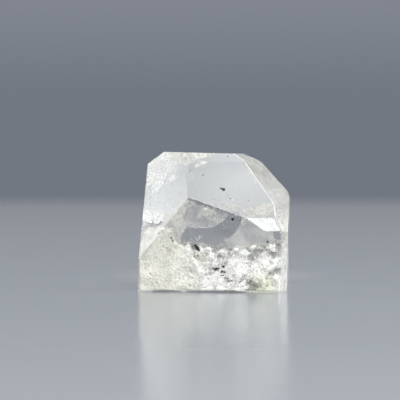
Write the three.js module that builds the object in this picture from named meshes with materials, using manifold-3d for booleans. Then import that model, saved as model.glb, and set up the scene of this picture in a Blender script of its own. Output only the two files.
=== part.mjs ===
// A gem topaz crystal, one solid grown as one piece, in millimetres, +Z up.
// The crystal stands on its broken base. -Y is the front, where the big prism face looks,
// and the origin is in the middle of the base, on the surface that it stands on.
import * as THREE from 'three';
import { mergeVertices } from 'three/addons/utils/BufferGeometryUtils.js';
import Module from 'manifold-3d';

const wasm = await Module();
wasm.setup();

// ---- driving dimensions -------------------------------------------------------------

// Topaz is orthorhombic. These are the lengths of its a, b and c axes, with b as the unit.
const AXIS_A = 0.5285;
const AXIS_B = 1.0;
const AXIS_C = 0.9539;

// How the crystal stands: its a axis is turned from the front towards +X, and its c axis,
// the long direction of the prism, leans a little to the right of upright.
const TURN = THREE.MathUtils.degToRad(40);
const LEAN = THREE.MathUtils.degToRad(1.3);

// The point inside the crystal that every face is measured from.
const HEART = new THREE.Vector3(-0.35, -0.37, 11);

// Each face has its Miller index (h, k, l) and its reach: how far it lies from the heart.
const FACES = {
  top: { index: [0, 0, 1], reach: 10.35 },
  // front: the big prism face, with a small facet high above it
  frontPrism: { index: [1, -2, 0], reach: 8.4 },
  frontCorner: { index: [1, -2, 3], reach: 8.6 },
  // front right: a narrow prism face, then pyramid faces from steep to shallow
  frontRightPrism: { index: [1, -1, 0], reach: 10.8 },
  frontRightSteep: { index: [1, -1, 1], reach: 9.1 },
  frontRightPyramid: { index: [1, -1, 2], reach: 7.45 },
  frontRightShallow: { index: [1, -1, 3], reach: 8.35 },
  // left: a steep dome and the side prism face
  leftDome: { index: [0, -2, 1], reach: 8.85 },
  leftPrism: { index: [-1, -2, 0], reach: 11.0 },
  // right
  rightPrism: { index: [1, 1, 0], reach: 12.9 },
  rightSteep: { index: [1, 1, 1], reach: 10.95 },
  rightPyramid: { index: [1, 1, 2], reach: 9.65 },
  rightShallow: { index: [1, 1, 4], reach: 10.3 },
  rightSidePrism: { index: [1, 2, 0], reach: 11.9 },
  rightShoulder: { index: [1, 2, 1], reach: 12.35 },
  rightDome: { index: [0, 2, 1], reach: 12.9 },
  // back
  backPrism: { index: [-1, 2, 0], reach: 9.4 },
  backLeftPrism: { index: [-1, 1, 0], reach: 11.0 },
  backSteep: { index: [-1, 1, 1], reach: 11.0 },
  backPyramid: { index: [-1, 1, 2], reach: 11.3 },
  backShallow: { index: [-1, 2, 3], reach: 11.4 },
  farLeftPrism: { index: [-1, -1, 0], reach: 12.6 },
  farLeftShallow: { index: [-1, -1, 3], reach: 13.4 },
};

// The rough block that the faces are cut from stands on z = 0.
const BLOCK = 44;

// Shell-shaped hollows in the broken base, open at its rim: the middle of each on the
// ground, its radii along x and y, and its depth. The first three lie along the foot of
// the front prism face, and their y is given from there: inFront is towards the crystal.
const HOLLOWS = [
  { x: -7.6, inFront: 0.2, rx: 2.5, ry: 2.2, depth: 0.42 },
  { x: 0.1, inFront: 0.4, rx: 5.2, ry: 2.8, depth: 0.55 },
  { x: 11.4, inFront: -1.6, rx: 2.0, ry: 2.6, depth: 0.7 },
  { x: -6.0, y: 9.2, rx: 3.4, ry: 2.6, depth: 0.5 },
  { x: 5.2, y: 10.2, rx: 4.6, ry: 2.4, depth: 0.45 },
  { x: -11.9, y: -1.2, rx: 2.0, ry: 3.0, depth: 0.4 },
];
const HOLLOW_RINGS = 8;
const HOLLOW_SIDES = 28;
const RIPPLES = 2.5;
const RIPPLE_DEPTH = 0.07;

// Small chips knocked off the edges: the two faces that the edge lies between, the height
// of the chip, its length along the edge, its width across it, and how deep it bites.
const CHIPS = [
  { between: ['rightPrism', 'rightSidePrism'], z: 10.6, length: 1.3, width: 1.0, bite: 0.22 },
  { between: ['frontRightSteep', 'rightSteep'], z: 11.2, length: 3.2, width: 1.2, bite: 0.16 },
  { between: ['leftDome', 'leftPrism'], z: 10.4, length: 1.3, width: 0.9, bite: 0.2 },
  { between: ['frontPrism', 'leftPrism'], z: 0.1, length: 1.6, width: 1.6, bite: 0.4 },
  { between: ['rightPrism', 'rightSidePrism'], z: 0.3, length: 2.6, width: 1.6, bite: 0.3 },
  { between: ['frontRightPrism', 'rightPrism'], z: 9.5, length: 0.9, width: 0.7, bite: 0.16 },
  { between: ['backPrism', 'backLeftPrism'], z: 6.2, length: 2.2, width: 1.4, bite: 0.3 },
  { between: ['backPrism', 'rightSidePrism'], z: 1.0, length: 3.0, width: 2.0, bite: 0.4 },
];
const CHIP_SIDES = 18;
const CHIP_RINGS = 12;

// ---- helpers ------------------------------------------------------------------------

const SIDEWAYS = new THREE.Vector3(0, 1, 0);
const UP = new THREE.Vector3(0, 0, 1);

function toSolid(geometry) {
  const bare = geometry.clone();
  bare.deleteAttribute('normal');
  bare.deleteAttribute('uv');
  const merged = mergeVertices(bare, 1e-5);
  return new wasm.Manifold(new wasm.Mesh({
    numProp: 3,
    vertProperties: new Float32Array(merged.attributes.position.array),
    triVerts: new Uint32Array(merged.index.array),
  }));
}

function toGeometry(solid) {
  const mesh = solid.getMesh();
  const geometry = new THREE.BufferGeometry();
  geometry.setAttribute('position', new THREE.BufferAttribute(mesh.vertProperties, 3));
  geometry.setIndex(new THREE.BufferAttribute(mesh.triVerts, 1));
  geometry.computeVertexNormals();
  return geometry;
}

// The outward direction of a face, from its Miller index.
function faceNormal(face) {
  const [h, k, l] = face.index;
  const a = new THREE.Vector3(Math.sin(TURN), -Math.cos(TURN), 0);
  const b = new THREE.Vector3(Math.cos(TURN), Math.sin(TURN), 0);
  const normal = new THREE.Vector3();
  normal.addScaledVector(a, h / AXIS_A);
  normal.addScaledVector(b, k / AXIS_B);
  normal.addScaledVector(UP, l / AXIS_C);
  return normal.normalize().applyAxisAngle(SIDEWAYS, LEAN);
}

// Everything outside one face, as a block whose bottom lies in the face.
function outsideOf(face) {
  const normal = faceNormal(face);
  const block = new THREE.BoxGeometry(2 * BLOCK, 2 * BLOCK, BLOCK);
  block.translate(0, 0, BLOCK / 2);
  block.applyQuaternion(new THREE.Quaternion().setFromUnitVectors(UP, normal));
  const middle = HEART.clone().addScaledVector(normal, face.reach);
  block.translate(middle.x, middle.y, middle.z);
  return toSolid(block);
}

// The point at height z on the edge between two faces.
function edgePoint(faceA, faceB, z) {
  const normalA = faceNormal(faceA);
  const normalB = faceNormal(faceB);
  const rows = new THREE.Matrix3();
  rows.set(...normalA.toArray(), ...normalB.toArray(), 0, 0, 1);
  const offsetA = faceA.reach + normalA.dot(HEART);
  const offsetB = faceB.reach + normalB.dot(HEART);
  return new THREE.Vector3(offsetA, offsetB, z).applyMatrix3(rows.invert());
}

// Where the front prism face meets the ground, at a given x.
function frontFoot(x) {
  const normal = faceNormal(FACES.frontPrism);
  const across = normal.x * (x - HEART.x) - normal.z * HEART.z;
  return HEART.y + (FACES.frontPrism.reach - across) / normal.y;
}

// A shell-shaped hollow: a shallow dome with fading ripples round its middle.
function hollowSolid(hollow) {
  const profile = [new THREE.Vector2(0, -1), new THREE.Vector2(1, -1)];
  for (let ring = HOLLOW_RINGS; ring >= 0; ring -= 1) {
    const r = ring / HOLLOW_RINGS;
    const dome = hollow.depth * (1 - r * r);
    const ripple = RIPPLE_DEPTH * r * (1 - r) * Math.sin(2 * Math.PI * RIPPLES * r);
    profile.push(new THREE.Vector2(r, dome + ripple));
  }
  const shell = new THREE.LatheGeometry(profile, HOLLOW_SIDES);
  shell.rotateX(Math.PI / 2);
  shell.scale(hollow.rx, hollow.ry, 1);
  const y = hollow.y ?? frontFoot(hollow.x) + hollow.inFront;
  shell.translate(hollow.x, y, 0);
  return toSolid(shell);
}

// A chip: a ball drawn out along the edge, set back so that it only bites into the edge.
function chipSolid(chip) {
  const [faceA, faceB] = chip.between.map((name) => FACES[name]);
  const normalA = faceNormal(faceA);
  const normalB = faceNormal(faceB);
  const outward = normalA.clone().add(normalB).normalize();
  const along = normalA.clone().cross(normalB).normalize();
  const across = outward.clone().cross(along);
  const radius = (chip.width * chip.width) / (8 * chip.bite) + chip.bite / 2;
  const middle = edgePoint(faceA, faceB, chip.z).addScaledVector(outward, radius - chip.bite);
  const ball = new THREE.SphereGeometry(radius, CHIP_SIDES, CHIP_RINGS);
  ball.scale(1, chip.length / chip.width, 1);
  ball.applyMatrix4(new THREE.Matrix4().makeBasis(outward, along, across));
  ball.translate(middle.x, middle.y, middle.z);
  return toSolid(ball);
}

// ---- the crystal --------------------------------------------------------------------

function crystalSolid() {
  const block = new THREE.BoxGeometry(BLOCK, BLOCK, BLOCK);
  block.translate(0, 0, BLOCK / 2);
  let solid = toSolid(block);
  for (const face of Object.values(FACES)) {
    solid = solid.subtract(outsideOf(face));
  }
  for (const hollow of HOLLOWS) {
    solid = solid.subtract(hollowSolid(hollow));
  }
  for (const chip of CHIPS) {
    solid = solid.subtract(chipSolid(chip));
  }
  return solid;
}

const topaz = new THREE.MeshStandardMaterial({
  color: 0xe6e8e4,
  roughness: 0.08,
  metalness: 0,
  transparent: true,
  opacity: 0.6,
});
topaz.name = 'topaz';

const crystal = new THREE.Mesh(toGeometry(crystalSolid()), topaz);
crystal.name = 'crystal';

const part = new THREE.Group();
part.add(crystal);

export default part;
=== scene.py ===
import math

import bmesh
import bpy
import numpy as np
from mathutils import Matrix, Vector


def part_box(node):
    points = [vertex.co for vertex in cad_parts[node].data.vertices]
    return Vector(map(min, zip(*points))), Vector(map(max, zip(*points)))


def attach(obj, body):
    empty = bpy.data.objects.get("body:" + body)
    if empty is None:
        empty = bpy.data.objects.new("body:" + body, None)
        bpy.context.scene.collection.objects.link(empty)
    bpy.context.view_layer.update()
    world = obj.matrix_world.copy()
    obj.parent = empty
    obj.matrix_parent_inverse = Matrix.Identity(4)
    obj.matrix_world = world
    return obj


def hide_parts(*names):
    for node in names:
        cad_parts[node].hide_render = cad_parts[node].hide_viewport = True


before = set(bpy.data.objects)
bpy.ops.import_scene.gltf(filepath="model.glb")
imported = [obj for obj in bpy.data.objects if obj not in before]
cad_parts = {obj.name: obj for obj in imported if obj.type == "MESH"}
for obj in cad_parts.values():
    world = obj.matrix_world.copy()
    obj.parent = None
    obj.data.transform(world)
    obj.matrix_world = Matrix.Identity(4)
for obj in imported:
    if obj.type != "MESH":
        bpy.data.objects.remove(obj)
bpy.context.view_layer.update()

MM = 0.001

# ---- sizes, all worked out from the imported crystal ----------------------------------

LOW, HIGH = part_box("crystal")
WIDTH = HIGH.x - LOW.x
DEPTH = HIGH.y - LOW.y
HEIGHT = HIGH.z - LOW.z

TOPAZ_IOR = 1.62
# How widely the edges are rounded: plain ones, those beside the narrow right side, the ridge.
EDGE_ROUND = 0.05 * MM
RIM_ROUND = 0.15 * MM
RIDGE_ROUND = 0.1 * MM
# How high the sugary zone reaches in front, and how far it sinks on its way to the back.
SUGAR_TOP = 0.343 * HEIGHT
SUGAR_SINK = 3.5 * MM
# The clear skin between the crystal's faces and the sugary zone, and how much deeper its mass lies.
SKIN = 0.12 * MM
SUGAR_BEHIND = 0.2  # mm
# The clear skin over the loose flakes and grains.
THIN_SKIN = 0.06 * MM

# Where the crystal is looked at from: how far away, how far above level, and the point itself;
# and the point that the camera is aimed at.
VIEW_AWAY = 0.265
VIEW_ABOVE = math.radians(4.7)
VIEWPOINT = np.array((0, -VIEW_AWAY * math.cos(VIEW_ABOVE), VIEW_AWAY * math.sin(VIEW_ABOVE)))
VIEW_AIM = (-0.104 * WIDTH, 0, 0.646 * HEIGHT)


# ---- the crystal's own faces --------------------------------------------------------

def whole_faces(mesh):
    """The mesh with every flat crystal face as one polygon, to edit."""
    weld = 0.002 * MM
    flat = math.radians(0.3)
    bm = bmesh.new()
    bm.from_mesh(mesh)
    bmesh.ops.remove_doubles(bm, verts=bm.verts, dist=weld)
    bmesh.ops.dissolve_limit(bm, angle_limit=flat, verts=bm.verts, edges=bm.edges)
    return bm


def flat_faces(mesh, least_area):
    """The large flat faces of a closed mesh, as outward normals and distances from the origin."""
    bm = whole_faces(mesh)
    normals = []
    reaches = []
    for face in bm.faces:
        if face.calc_area() > least_area:
            normals.append(list(face.normal))
            reaches.append(face.normal.dot(face.verts[0].co))
    bm.free()
    return np.array(normals), np.array(reaches)


# Flat faces smaller than this belong to a chip or a hollow, and aren't crystal faces.
LEAST_FACE = 3 * MM * MM
FACE_NORMALS, FACE_REACHES = flat_faces(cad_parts["crystal"].data, LEAST_FACE)


def depth_inside(points):
    """How deep each point lies under the nearest crystal face; negative outside."""
    return (FACE_REACHES - points @ FACE_NORMALS.T).min(axis=1)


def face_towards(*direction):
    """Index of the crystal face that looks most nearly in a direction."""
    return int((FACE_NORMALS @ np.array(direction)).argmax())


FRONT = face_towards(-0.11, -0.99, 0)
LEFT_DOME = face_towards(-0.67, -0.57, 0.48)
FRONT_PYRAMID = face_towards(0.17, -0.7, 0.7)
FRONT_STEEP = face_towards(0.2, -0.88, 0.44)
FRONT_TOP = face_towards(0.14, -0.55, 0.82)
RIGHT_PYRAMID = face_towards(0.68, -0.27, 0.68)
RIGHT_STEEP = face_towards(0.84, -0.34, 0.42)
RIGHT_TOP = face_towards(0.44, -0.17, 0.88)
FRONT_RIGHT = face_towards(0.21, -0.98, 0)
RIGHT_PRISM = face_towards(0.93, -0.38, -0.02)


def seen_under(face, across, up, depth):
    """Places under a crystal face: across and up, shares of the crystal's width and height, say
    where the line of sight enters the face, and depth says how far it then runs on inside."""
    n = FACE_NORMALS[face]
    x = LOW.x + np.asarray(across) * WIDTH
    z = np.asarray(up) * HEIGHT
    y = (FACE_REACHES[face] - n[0] * x - n[2] * z) / n[1]
    entry = np.stack(np.broadcast_arrays(x, y, z), -1)
    ray = entry - VIEWPOINT
    ray /= np.linalg.norm(ray, axis=-1, keepdims=True)
    steep = -(ray @ n)[..., None] / TOPAZ_IOR
    bent = ray / TOPAZ_IOR + n * (steep - np.sqrt(1 - 1 / TOPAZ_IOR ** 2 + steep ** 2))
    return entry + bent * np.asarray(depth)[..., None]


# ---- meshes -------------------------------------------------------------------------

def link(ob):
    """Puts an object in the scene."""
    bpy.context.scene.collection.objects.link(ob)
    return ob


def new_mesh(name, vertices, faces):
    """A mesh from arrays of vertices and of faces that all have as many corners."""
    mesh = bpy.data.meshes.new(name)
    corners = faces.shape[1]
    mesh.vertices.add(len(vertices))
    mesh.vertices.foreach_set("co", vertices.astype(np.float32).ravel())
    mesh.loops.add(faces.size)
    mesh.loops.foreach_set("vertex_index", faces.astype(np.int32).ravel())
    mesh.polygons.add(len(faces))
    mesh.polygons.foreach_set("loop_start", np.arange(0, faces.size, corners, dtype=np.int32))
    mesh.update(calc_edges=True)
    return mesh


def points_and_normals(mesh):
    """Every vertex's place and normal, as two arrays."""
    points = np.empty(len(mesh.vertices) * 3)
    normals = np.empty(len(mesh.vertices) * 3)
    mesh.vertices.foreach_get("co", points)
    mesh.vertices.foreach_get("normal", normals)
    return points.reshape(-1, 3), normals.reshape(-1, 3)


def new_piece(name, vertices, faces, material, slot):
    """A piece sealed in the crystal, from arrays of vertices and faces."""
    mesh = new_mesh(name, vertices, faces)
    mesh.materials.append(material)
    ob = link(bpy.data.objects.new(name, mesh))
    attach(ob, "root")
    return ob


TETRAHEDRON = np.array([(1, 1, 1), (1, -1, -1), (-1, 1, -1), (-1, -1, 1)]) / math.sqrt(3)
TETRAHEDRON_FACES = np.array([(0, 1, 2), (0, 3, 1), (0, 2, 3), (1, 3, 2)])


def random_turns(rng, count):
    """Rotation matrices spread evenly over all directions."""
    q = rng.normal(size=(count, 4))
    q /= np.linalg.norm(q, axis=1)[:, None]
    w, x, y, z = q.T
    return np.array([
        [1 - 2 * (y * y + z * z), 2 * (x * y - z * w), 2 * (x * z + y * w)],
        [2 * (x * y + z * w), 1 - 2 * (x * x + z * z), 2 * (y * z - x * w)],
        [2 * (x * z - y * w), 2 * (y * z + x * w), 1 - 2 * (x * x + y * y)],
    ]).transpose(2, 0, 1)


def grains(rng, centres, sizes, flatness):
    """Angular closed grains, four faces each, at the given centres."""
    jitter = 0.35
    count = len(centres)
    shape = TETRAHEDRON[None] * (1 + rng.uniform(-jitter, jitter, (count, 4, 1)))
    shape = shape * np.stack([np.ones(count), rng.uniform(0.5, 1, count), flatness], 1)[:, None]
    turned = np.einsum("nij,nkj->nki", random_turns(rng, count), shape)
    vertices = centres[:, None] + turned * sizes[:, None, None]
    faces = TETRAHEDRON_FACES[None] + 4 * np.arange(count)[:, None, None]
    return vertices.reshape(-1, 3), faces.reshape(-1, 3)


GOLDEN = (1 + math.sqrt(5)) / 2
ICOSAHEDRON = np.array([
    (-1, GOLDEN, 0), (1, GOLDEN, 0), (-1, -GOLDEN, 0), (1, -GOLDEN, 0),
    (0, -1, GOLDEN), (0, 1, GOLDEN), (0, -1, -GOLDEN), (0, 1, -GOLDEN),
    (GOLDEN, 0, -1), (GOLDEN, 0, 1), (-GOLDEN, 0, -1), (-GOLDEN, 0, 1),
]) / math.hypot(1, GOLDEN)
ICOSAHEDRON_FACES = np.array([
    (0, 11, 5), (0, 5, 1), (0, 1, 7), (0, 7, 10), (0, 10, 11), (1, 5, 9), (5, 11, 4),
    (11, 10, 2), (10, 7, 6), (7, 1, 8), (3, 9, 4), (3, 4, 2), (3, 2, 6), (3, 6, 8),
    (3, 8, 9), (4, 9, 5), (2, 4, 11), (6, 2, 10), (8, 6, 7), (9, 8, 1),
])


def leaning_shapes(rng, shape, shape_faces, centres, halves, leans):
    """Closed shapes drawn out in the upright plane that faces the front: halves are their half
    length, half height and half thickness, and leans their angles from level."""
    jitter = 0.25
    count = len(centres)
    cos = np.cos(np.radians(leans))
    sin = np.sin(np.radians(leans))
    none = np.zeros(count)
    axes = np.array([[cos, none, sin], [-sin, none, cos], [none, none + 1, none]]).transpose(2, 0, 1)
    rough = shape[None] * (1 + rng.uniform(-jitter, jitter, (count, len(shape), 1)))
    vertices = centres[:, None] + np.einsum("nvi,nij->nvj", rough * halves[:, None], axes)
    faces = shape_faces[None] + len(shape) * np.arange(count)[:, None, None]
    return vertices.reshape(-1, 3), faces.reshape(-1, 3)


# ---- shader nodes -------------------------------------------------------------------

def feed(tree, value, socket):
    """Links a socket's value to an input, or sets the input where the value is a plain one."""
    if isinstance(value, bpy.types.NodeSocket):
        tree.links.new(value, socket)
    else:
        socket.default_value = value


def set_inputs(tree, node, **values):
    """Feeds a node's inputs by their names, with _ for each space."""
    for label, value in values.items():
        feed(tree, value, node.inputs[label.replace("_", " ")])


def add(tree, kind, **settings):
    """A node with its settings. Roughness= or in_3= feeds the input of that name or number, and
    a name in small letters is a setting of the node itself."""
    node = tree.nodes.new(kind)
    for key, value in settings.items():
        if key.startswith("in_"):
            feed(tree, value, node.inputs[int(key[3:])])
        elif key[0].isupper():
            set_inputs(tree, node, **{key: value})
        else:
            setattr(node, key, value)
    return node


def math_node(tree, operation, *values):
    """What a Math node makes of one or two numbers, which are sockets or plain."""
    inputs = {f"in_{i}": value for i, value in enumerate(values)}
    return add(tree, "ShaderNodeMath", operation=operation, **inputs).outputs[0]


def map_range(tree, value, low, high, bottom=0.0, top=1.0, interpolation="LINEAR"):
    """A value carried over from the range low to high to the range bottom to top."""
    node = add(
        tree, "ShaderNodeMapRange", interpolation_type=interpolation,
        in_0=value, in_1=low, in_2=high, in_3=bottom, in_4=top,
    )
    return node.outputs[0]


def blend(tree, mask, first, second, mode="MIX"):
    """A colour mixed from two by a mask."""
    node = add(
        tree, "ShaderNodeMix", data_type="RGBA", blend_type=mode,
        in_0=mask, in_6=first, in_7=second,
    )
    return node.outputs[2]


def parts_of(tree, vector):
    """The X, Y and Z of a vector, by name."""
    return add(tree, "ShaderNodeSeparateXYZ", Vector=vector).outputs


def place_on(tree):
    """The place on the object."""
    return add(tree, "ShaderNodeTexCoord").outputs["Object"]


def facing(tree):
    """The X, Y and Z of the direction that the surface faces."""
    return parts_of(tree, add(tree, "ShaderNodeNewGeometry").outputs["Normal"])


# ---- shader node groups, shared by the materials ------------------------------------

def new_group(name, inputs, outputs):
    """A shader node group, what it is given, what it puts out, and the place in millimetres.
    The inputs have their usual values, and the outputs are numbers."""
    group = bpy.data.node_groups.new(name, "ShaderNodeTree")
    for label, value in {"Place": (0, 0, 0), **inputs}.items():
        kind = "NodeSocketFloat" if isinstance(value, float) else "NodeSocketVector"
        socket = group.interface.new_socket(label, in_out="INPUT", socket_type=kind)
        socket.default_value = value
    for label in outputs:
        group.interface.new_socket(label, in_out="OUTPUT", socket_type="NodeSocketFloat")
    given = group.nodes.new("NodeGroupInput").outputs
    result = group.nodes.new("NodeGroupOutput")
    place = add(group, "ShaderNodeVectorMath", operation="SCALE", in_0=given["Place"], in_3=1 / MM)
    return group, given, result, place.outputs[0]


def grain_group():
    """Fine sugary grain: a mask from 0 to 1, and a height for bump."""
    inputs = {"Grains per mm": 3.0}
    group, given, result, place = new_group("sugary grain", inputs, ["Grain", "Height"])
    per_mm = given["Grains per mm"]
    fine = add(group, "ShaderNodeTexNoise", Vector=place, Scale=per_mm, Detail=4.0, Roughness=0.65)
    closer = math_node(group, "MULTIPLY", per_mm, 1.3)
    chips = add(group, "ShaderNodeTexVoronoi", feature="F1", Vector=place, Scale=closer)
    split = add(group, "ShaderNodeSeparateColor", Color=chips.outputs["Color"])
    chipped = math_node(group, "MULTIPLY", split.outputs[0], 0.3)
    height = math_node(group, "ADD", chipped, fine.outputs[0])
    set_inputs(group, result, Grain=map_range(group, height, 0.42, 0.9), Height=height)
    return group


def cloud_group():
    """Soft uneven patches: a mask from 0 to 1."""
    inputs = {"Clouds per mm": 0.4, "Least": 0.4, "Most": 0.65}
    group, given, result, place = new_group("soft clouds", inputs, ["Cloud"])
    shape = add(
        group, "ShaderNodeTexNoise", Vector=place, Scale=given["Clouds per mm"],
        Detail=3.0, Roughness=0.55, Distortion=0.6,
    )
    limits = given["Least"], given["Most"]
    cloud = map_range(group, shape.outputs[0], *limits, interpolation="SMOOTHSTEP")
    set_inputs(group, result, Cloud=cloud)
    return group


def growth_group():
    """The faint relief that growth leaves on a crystal face: soft hills, fine level lines, and
    etched pits in patches."""
    inputs = {"Lines": 0.12, "Etching": 0.0}
    group, given, result, place = new_group("growth relief", inputs, ["Height"])
    hills = add(group, "ShaderNodeTexNoise", Vector=place, Scale=0.28, Detail=1.0)
    level = (0.12, 0.12, 3.0)
    drawn = add(group, "ShaderNodeVectorMath", operation="MULTIPLY", in_0=place, in_1=level)
    lines = add(group, "ShaderNodeTexNoise", Vector=drawn.outputs[0], Scale=1.0, Detail=2.0)
    faint = math_node(group, "MULTIPLY", lines.outputs[0], given["Lines"])
    pits = add(group, "ShaderNodeTexVoronoi", feature="F1", Vector=place, Scale=1.1)
    patches = add(group, "ShaderNodeTexNoise", Vector=place, Scale=0.35, Detail=2.0)
    where = map_range(group, patches.outputs[0], 0.42, 0.6, interpolation="SMOOTHSTEP")
    etched = math_node(group, "MULTIPLY", pits.outputs["Distance"], where)
    etched = math_node(group, "MULTIPLY", etched, given["Etching"])
    height = math_node(group, "ADD", hills.outputs[0], faint)
    set_inputs(group, result, Height=math_node(group, "ADD", height, etched))
    return group


GRAIN = grain_group()
CLOUD = cloud_group()
GROWTH = growth_group()


def place_group(tree, group, **values):
    """What a shared group puts out in a material, fed with the place on the object."""
    return add(tree, "ShaderNodeGroup", node_tree=group, Place=place_on(tree), **values).outputs


# ---- materials ----------------------------------------------------------------------

def shade(tree, **values):
    """Sets or feeds inputs of a material's main shader."""
    set_inputs(tree, tree.nodes["Principled BSDF"], **values)


def new_material(name, **values):
    """A material and its node tree, with what is the same all over set on its main shader."""
    material = bpy.data.materials.new(name)
    material.use_nodes = True
    shade(material.node_tree, **values)
    return material, material.node_tree


def relief(tree, height, strength, distance):
    """Bump on a material's main shader."""
    bump = add(tree, "ShaderNodeBump", Strength=strength, Distance=distance, Height=height)
    shade(tree, Normal=bump.outputs[0])


# How rough the clear faces are: in front, at the sides, and at the back, where they are frosted.
FRONT_ROUGH = 0.02
SIDE_ROUGH = 0.2
BACK_ROUGH = 0.4
# The crystal's faint warm tint, and how strongly it absorbs light per metre.
TINT = (1, 0.85, 0.4, 1)
TINT_STRENGTH = 4.5


def clear_topaz():
    """The see-through body, with faint growth relief, frosted behind and etched at the left."""
    whole = {"Base_Color": (1, 1, 1, 1), "IOR": TOPAZ_IOR, "Transmission_Weight": 1}
    material, tree = new_material("clear topaz", **whole)
    normal = facing(tree)
    back = map_range(tree, normal["Y"], 0.3, 0.8, FRONT_ROUGH, BACK_ROUGH)
    sideways = math_node(tree, "ABSOLUTE", normal["X"])
    side = map_range(tree, sideways, 0.4, 0.65, FRONT_ROUGH, SIDE_ROUGH)
    shade(tree, Roughness=math_node(tree, "MAXIMUM", back, side))
    left = map_range(tree, parts_of(tree, place_on(tree))["X"], -4 * MM, -6.5 * MM)
    growth = place_group(tree, GROWTH, Lines=0.22, Etching=left)
    relief(tree, growth["Height"], 0.5, 0.06 * MM)
    body = add(tree, "ShaderNodeVolumeAbsorption", Color=TINT, Density=TINT_STRENGTH)
    set_inputs(tree, tree.nodes["Material Output"], Volume=body.outputs[0])
    return material


def frosted_topaz():
    """The broken, uneven base."""
    material, tree = new_material("frosted topaz", IOR=TOPAZ_IOR, Transmission_Weight=0.3)
    cloud = place_group(tree, CLOUD, Clouds_per_mm=0.7)
    grain = place_group(tree, GRAIN, Grains_per_mm=2.0)
    colour = blend(tree, cloud["Cloud"], (0.9, 0.9, 0.86, 1), (0.7, 0.71, 0.68, 1))
    shade(tree, Base_Color=colour, Roughness=map_range(tree, grain["Grain"], 0.0, 1.0, 0.25, 0.6))
    relief(tree, grain["Height"], 0.4, 0.1 * MM)
    return material


def worn_topaz():
    """The rubbed, faintly chipped edges between faces."""
    whole = {"IOR": TOPAZ_IOR, "Transmission_Weight": 0.45, "Roughness": 0.35}
    material, tree = new_material("worn topaz", **whole)
    grain = place_group(tree, GRAIN, Grains_per_mm=1.6)
    colour = blend(tree, grain["Grain"], (0.8, 0.82, 0.84, 1), (0.98, 0.98, 0.98, 1))
    shade(tree, Base_Color=colour)
    relief(tree, grain["Height"], 0.3, 0.05 * MM)
    return material


# The middle of the pale green part of the sugary zone, low on the right of the front.
GREEN_PLACE = (LOW.x + 0.80 * WIDTH, LOW.y + 0.5 * MM, 0.045 * HEIGHT)

# The colours of the sugary zone: bright and dull grains on the right and on the left of the
# front, dull grains that face away from the front, painted shade on faces that look up, the dark
# and light painted shade of the deep clear places, and the tint of the green part.
SUGAR_WHITE = (0.87, 0.87, 0.84, 1)
SUGAR_DULL = (0.22, 0.22, 0.21, 1)
SUGAR_CREAM = (0.78, 0.77, 0.7, 1)
SUGAR_DULL_CREAM = (0.5, 0.5, 0.45, 1)
SUGAR_DULL_ASIDE = (0.48, 0.48, 0.46, 1)
SUGAR_TOP_PAINTED_SHADE = (0.29, 0.305, 0.315, 1)
DEEP_PAINTED_SHADE_DARK = (0.17, 0.175, 0.165, 1)
DEEP_PAINTED_SHADE_LIGHT = (0.36, 0.365, 0.345, 1)
GREEN_TINT = (0.9, 0.92, 0.8, 1)


def depth_under(tree, place, face):
    """How deep a place lies under a crystal face."""
    normal = FACE_NORMALS[face]
    along = add(tree, "ShaderNodeVectorMath", operation="DOT_PRODUCT", in_0=place, in_1=normal)
    return math_node(tree, "SUBTRACT", float(FACE_REACHES[face]), along.outputs["Value"])


def sugar_grains(tree, place, patches, grain, forward):
    """The colour of the grains: white on the right, cream on the left of the front."""
    shifted = math_node(tree, "MULTIPLY", patches, 2.5 * MM)
    shifted = math_node(tree, "ADD", parts_of(tree, place)["X"], shifted)
    left = map_range(tree, shifted, 0.5 * MM, -4.5 * MM)
    cream = math_node(tree, "MULTIPLY", left, forward)
    white = blend(tree, cream, SUGAR_WHITE, SUGAR_CREAM)
    dull = blend(tree, forward, SUGAR_DULL_ASIDE, SUGAR_DULL)
    dull = blend(tree, cream, dull, SUGAR_DULL_CREAM)
    broad = math_node(tree, "MULTIPLY", patches, 0.5)
    fine = math_node(tree, "MULTIPLY", grain, 1.05)
    share = math_node(tree, "ADD", fine, broad)
    return blend(tree, math_node(tree, "MINIMUM", share, 1.0), dull, white)


def sugary_topaz():
    """Crowded tiny healed cracks, white to cream, with painted shade on faces that look up and
    painted grey shade in the deep clear places, and pale green near the green place."""
    material, tree = new_material(
        "sugary topaz", Roughness=0.35, Subsurface_Weight=0.35,
        Subsurface_Radius=(1, 1, 0.9), Subsurface_Scale=0.15 * MM,
    )
    place = place_on(tree)
    normal = facing(tree)
    patches = place_group(tree, CLOUD, Clouds_per_mm=0.45, Least=0.36, Most=0.6)["Cloud"]
    grain = place_group(tree, GRAIN, Grains_per_mm=4.4)
    forward = map_range(tree, normal["Y"], -0.3, -0.7)
    colour = sugar_grains(tree, place, patches, grain["Grain"], forward)
    # Painted shade: the faces of the mass that look up are darkened towards grey.
    painted_top_shade = map_range(tree, normal["Z"], 0.55, 0.95, 0.0, 0.87)
    colour = blend(tree, painted_top_shade, colour, SUGAR_TOP_PAINTED_SHADE)
    nearest = depth_under(tree, place, FRONT)
    for face in (FRONT_RIGHT, LEFT_DOME):
        nearest = math_node(tree, "MINIMUM", nearest, depth_under(tree, place, face))
    # Painted shade: where the mass lies deep, at the bottoms of the clear places, and faces the front,
    # it is painted grey.
    deep = map_range(tree, nearest, 0.36 * MM, 0.5 * MM, 0.0, 0.9)
    deep_painted_shade = blend(tree, grain["Grain"], DEEP_PAINTED_SHADE_DARK, DEEP_PAINTED_SHADE_LIGHT)
    colour = blend(tree, math_node(tree, "MULTIPLY", deep, forward), colour, deep_painted_shade)
    away = add(tree, "ShaderNodeVectorMath", operation="DISTANCE", in_0=place, in_1=GREEN_PLACE)
    near = map_range(tree, away.outputs["Value"], 2.8 * MM, 1.0 * MM)
    shade(tree, Base_Color=blend(tree, near, colour, GREEN_TINT, "MULTIPLY"))
    relief(tree, grain["Height"], 0.4, 0.1 * MM)
    return material


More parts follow.
